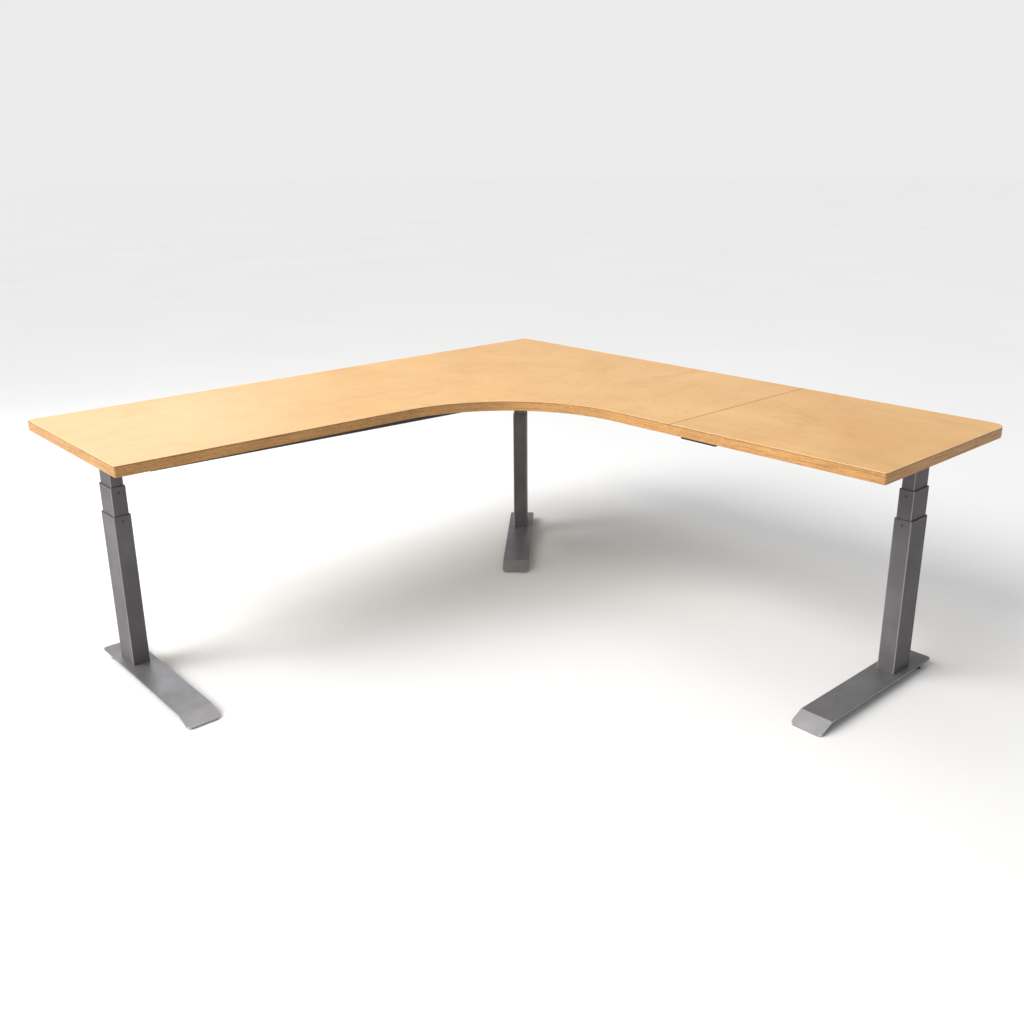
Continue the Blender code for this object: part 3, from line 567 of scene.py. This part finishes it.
def marks_on(button, outlines):
    """Raised printed marks on a button's face. Outlines are (x, z) about the face's middle."""
    low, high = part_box(f"{button}_button")
    middle = (low + high) / 2
    form = bmesh.new()
    for outline in outlines:
        rings = [[Vector((middle.x + x, y, middle.z + z)) for x, z in outline]
                 for y in (low.y + 0.00005, low.y - 0.00012)]
        loft(form, rings, Matrix.Identity(4))
    piece(f"{button}_mark", form, f"{button}_button", LEGEND)


DOT_RADIUS, DOT_STEP = 0.0006, 0.0022


def dot(x):
    angles = [math.pi * k / 6 for k in range(12)]
    return [(x + DOT_RADIUS * math.cos(a), DOT_RADIUS * math.sin(a)) for a in angles]


TRIANGLE = [(-0.0017, -0.0011), (0.0017, -0.0011), (0.0, 0.0016)]
marks_on("up", [TRIANGLE])
marks_on("down", [[(x, -z) for x, z in TRIANGLE]])
for number in (1, 2, 3):
    marks_on(f"memory_{number}", [dot((k - (number - 1) / 2) * DOT_STEP) for k in range(number)])

# ---- floor and light -------------------------------------------------------------------------


FLOOR_RADIUS, FLOOR_DROP = 60, 0.0002


def floor_material():
    f = Finish("pale_floor", Roughness=0.9, Specular_IOR_Level=0.1)
    return f.finish(Base_Color=f.ramp(f.noise(0.8, detail=4), ((0.3, 0.85), (0.7, 0.87))))


floor_mesh = bpy.data.meshes.new("floor")
form = bmesh.new()
bmesh.ops.create_circle(form, cap_ends=True, segments=96, radius=FLOOR_RADIUS)
form.to_mesh(floor_mesh)
form.free()
floor_mesh.materials.append(floor_material())
floor = bpy.data.objects.new("floor", floor_mesh)
floor.location.z = -FLOOR_DROP  # clear of the feet's lowest faces
bpy.context.scene.collection.objects.link(floor)

ROOM = (0.02, 0.85)  # strength of the room light away from and towards the key side
BACKDROP = 0.835  # what the camera sees behind the floor, matched to it to hide the horizon
KEY_SIDE = Vector((-0.55, -0.70, 0.45)).normalized()
world = bpy.data.worlds.new("studio")
bpy.context.scene.world = world
world.use_nodes = True
sky = world.node_tree.nodes
links = world.node_tree.links


def sky_node(kind, **inputs):
    node = sky.new(kind)
    for name, value in inputs.items():
        node.inputs[name.replace("_", " ")].default_value = value
    return node


# the room is brighter on the key light's side
toward = sky.new("ShaderNodeVectorMath")
toward.operation = "DOT_PRODUCT"
toward.inputs[1].default_value = KEY_SIDE
links.new(sky.new("ShaderNodeTexCoord").outputs["Generated"], toward.inputs[0])
fall = sky_node("ShaderNodeMapRange", From_Min=-1.0, From_Max=1.0, To_Min=ROOM[0], To_Max=ROOM[1])
links.new(toward.outputs["Value"], fall.inputs["Value"])
ambient = sky["Background"]
ambient.inputs["Color"].default_value = (0.98, 0.985, 1.0, 1)
links.new(fall.outputs["Result"], ambient.inputs["Strength"])
backdrop = sky_node("ShaderNodeBackground", Color=(1, 1, 1, 1), Strength=BACKDROP)
seen = sky.new("ShaderNodeLightPath")
blend = sky.new("ShaderNodeMixShader")
links.new(seen.outputs["Is Camera Ray"], blend.inputs["Fac"])
links.new(ambient.outputs["Background"], blend.inputs[1])
links.new(backdrop.outputs["Background"], blend.inputs[2])
links.new(blend.outputs["Shader"], sky["World Output"].inputs["Surface"])


def softbox(name, place, target, size, watts, colour=(1, 1, 1)):
    data = bpy.data.lights.new(name, "AREA")
    data.shape = "RECTANGLE"
    data.size, data.size_y = size
    data.energy = watts
    data.color = colour
    obj = bpy.data.objects.new(name, data)
    obj.location = place
    obj.rotation_mode = "QUATERNION"
    obj.rotation_quaternion = (Vector(target) - Vector(place)).to_track_quat("-Z", "Y")
    bpy.context.scene.collection.objects.link(obj)


WARM, COOL = (1.0, 0.985, 0.96), (0.97, 0.985, 1.0)
softbox("fill", (-1.9, -2.4, 2.5), (-0.6, -0.7, 0.4), (1.6, 1.6), 48, WARM)
softbox("front", (1.5, -3.2, 1.3), (-0.3, -0.5, 0.4), (1.6, 1.2), 13)
softbox("window", (-3.1, 0.1, 1.95), (-0.4, -0.8, 0.1), (1.7, 0.9), 10, COOL)
softbox("overhead", (-0.75, 0.35, 3.2), (-0.1, -0.2, 0.0), (1.2, 1.2), 13)

KEY_DIRECTION, KEY_STRENGTH, KEY_SPREAD = (0.20, 0.74, -0.65), 2.10, 36
key_data = bpy.data.lights.new("key", "SUN")
key_data.energy = KEY_STRENGTH
key_data.angle = math.radians(KEY_SPREAD)
key_data.color = WARM
key = bpy.data.objects.new("key", key_data)
key.rotation_mode = "QUATERNION"
key.rotation_quaternion = Vector(KEY_DIRECTION).to_track_quat("-Z", "Y")
bpy.context.scene.collection.objects.link(key)

bpy.context.scene.view_settings.view_transform = "Standard"
bpy.context.scene.view_settings.look = "None"
